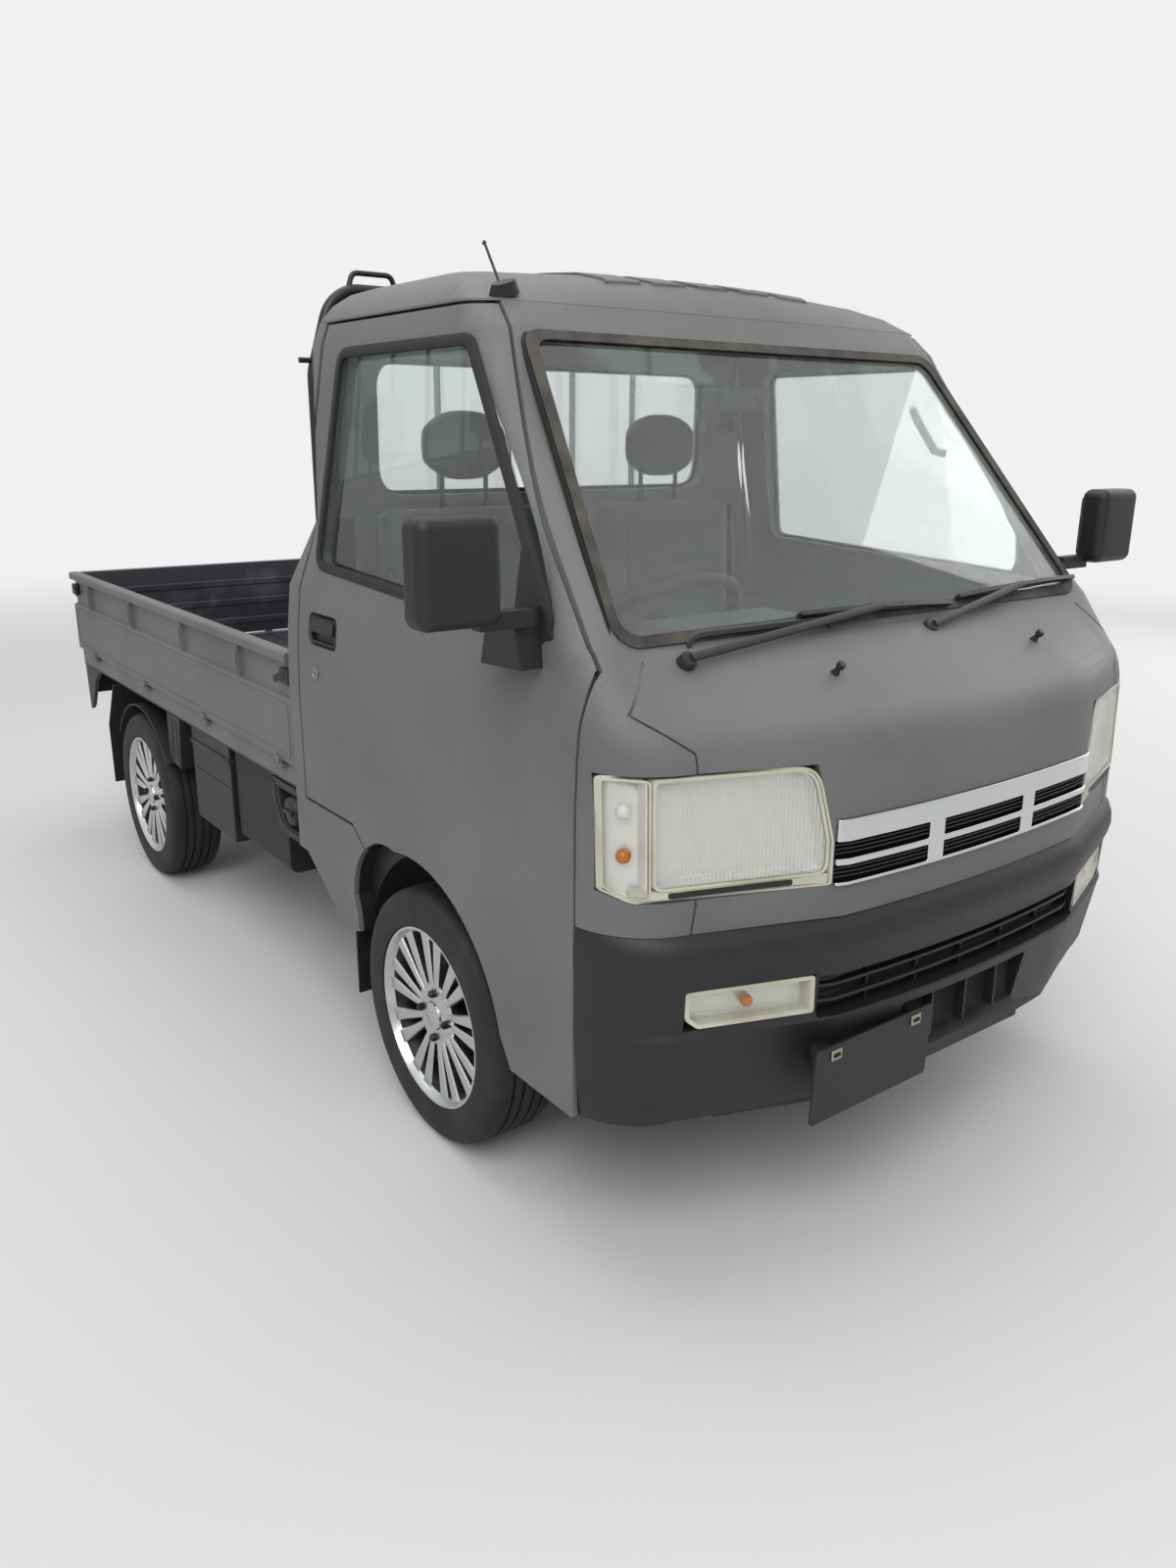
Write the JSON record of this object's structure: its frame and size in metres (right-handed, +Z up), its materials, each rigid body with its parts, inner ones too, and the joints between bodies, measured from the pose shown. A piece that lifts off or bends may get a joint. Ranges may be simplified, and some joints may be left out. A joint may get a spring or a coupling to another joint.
{
  "type": "kei truck",
  "caption": "Small full cab-over drop-side truck: two-seat cab, hinged doors, flat bed with three folding gates, steered front wheels and four spinning wheels.",
  "frame": {"origin": "bottom centre of the truck's bounding box, on the ground between the wheels", "axes": "+Z up, -Y to the front of the truck, -X to its right side"},
  "size_m": [1.916, 3.395, 1.7799],
  "materials": {
    "body_grey": "matte grey paint with a fine orange-peel grain",
    "frame_black": "satin black chassis paint",
    "bed_paint": "dark satin bed coating",
    "bumper_black": "black grained polypropylene",
    "trim_black": "black moulded plastic",
    "dash_grey": "light grey grained plastic",
    "seat_cloth": "grey woven cloth",
    "rubber": "weathered black rubber",
    "tyre": "black tyre rubber",
    "alloy": "machined alloy with dark gaps",
    "glass": "lightly tinted clear glass",
    "lamp_clear": "fluted clear lens, slightly yellowed",
    "lamp_red": "red lamp lens",
    "chrome": "polished chrome",
    "cast_metal": "cast metal",
    "steel": "dull exhaust steel"
  },
  "bodies": {
    "chassis": {"ladder_frame": "frame_black", "cab_body": "body_grey", "roof_panel": "body_grey", "cab_back_panel": "body_grey", "nose_panel": "body_grey", "windscreen": "glass", "windscreen_seal": "rubber", "rear_window": "glass", "dashboard": "dash_grey", "seat_cushions": "seat_cloth", "seat_backs": "seat_cloth", "front_bumper": "bumper_black", "grille": "chrome", "headlamps": "lamp_clear", "bumper_lamps": "lamp_clear", "wipers": "trim_black", "aerial": "trim_black", "engine": "cast_metal", "front_suspension": "frame_black", "rear_axle": "frame_black", "exhaust": "steel", "fuel_tank": "frame_black", "battery_box": "bumper_black", "spare_wheel": "tyre", "bed_floor": "bed_paint", "cab_guard": "frame_black", "rear_fenders": "rubber", "tail_lamps": "lamp_red"},
    "steering_wheel": {"steering_wheel": "trim_black"},
    "knuckle_right": {"knuckle_right": "cast_metal"},
    "door_right": {"door_right": "body_grey", "door_glass_right": "glass", "mirror_right": "trim_black"},
    "side_gate_right": {"side_gate_right": "body_grey"},
    "wheel_front_right": {"tyre_front_right": "tyre", "rim_front_right": "alloy"},
    "wheel_rear_right": {"tyre_rear_right": "tyre", "rim_rear_right": "alloy"},
    "knuckle_left": {"knuckle_left": "cast_metal"},
    "door_left": {"door_left": "body_grey", "door_glass_left": "glass", "mirror_left": "trim_black"},
    "side_gate_left": {"side_gate_left": "body_grey"},
    "wheel_front_left": {"tyre_front_left": "tyre", "rim_front_left": "alloy"},
    "wheel_rear_left": {"tyre_rear_left": "tyre", "rim_rear_left": "alloy"},
    "tailgate": {"tailgate": "body_grey"}
  },
  "joints": [
    {"name": "steer_right", "type": "hinge", "parent": "chassis", "child": "knuckle_right", "pos_m": [-0.616, -0.911, 0.165], "axis": [0.2203, 0, 0.9754], "range_deg": [-30, 30]},
    {"name": "door_swing_right", "type": "hinge", "parent": "chassis", "child": "door_right", "pos_m": [-0.729, -1.406, 0.7], "axis": [0, 0, 1], "range_deg": [0, 65]},
    {"name": "gate_drop_right", "type": "hinge", "parent": "chassis", "child": "side_gate_right", "pos_m": [-0.731, 0.704, 0.652], "axis": [0, -1, 0], "range_deg": [0, 165]},
    {"name": "wheel_spin_front_right", "type": "hinge", "parent": "knuckle_right", "child": "wheel_front_right", "pos_m": [-0.655, -0.911, 0.2725], "axis": [1, 0, 0], "continuous": true},
    {"name": "wheel_spin_rear_right", "type": "hinge", "parent": "chassis", "child": "wheel_rear_right", "pos_m": [-0.655, 0.989, 0.2725], "axis": [1, 0, 0], "continuous": true},
    {"name": "steer_left", "type": "hinge", "parent": "chassis", "child": "knuckle_left", "pos_m": [0.616, -0.911, 0.165], "axis": [-0.2203, 0, 0.9754], "range_deg": [-30, 30]},
    {"name": "door_swing_left", "type": "hinge", "parent": "chassis", "child": "door_left", "pos_m": [0.729, -1.406, 0.7], "axis": [0, 0, -1], "range_deg": [0, 65]},
    {"name": "gate_drop_left", "type": "hinge", "parent": "chassis", "child": "side_gate_left", "pos_m": [0.731, 0.704, 0.652], "axis": [0, 1, 0], "range_deg": [0, 165]},
    {"name": "wheel_spin_front_left", "type": "hinge", "parent": "knuckle_left", "child": "wheel_front_left", "pos_m": [0.655, -0.911, 0.2725], "axis": [1, 0, 0], "continuous": true},
    {"name": "wheel_spin_rear_left", "type": "hinge", "parent": "chassis", "child": "wheel_rear_left", "pos_m": [0.655, 0.989, 0.2725], "axis": [1, 0, 0], "continuous": true},
    {"name": "tailgate_drop", "type": "hinge", "parent": "chassis", "child": "tailgate", "pos_m": [0, 1.6915, 0.652], "axis": [-1, 0, 0], "range_deg": [0, 165]},
    {"name": "steering_turn", "type": "hinge", "parent": "chassis", "child": "steering_wheel", "pos_m": [-0.33, -1.12, 1.075], "axis": [0, 0.6, 0.8], "range_deg": [-460, 460]}
  ],
  "couplings": [
    {"joint": "steer_left", "follows": "steer_right", "ratio": 1},
    {"joint": "steering_turn", "follows": "steer_right", "ratio": 15}
  ]
}
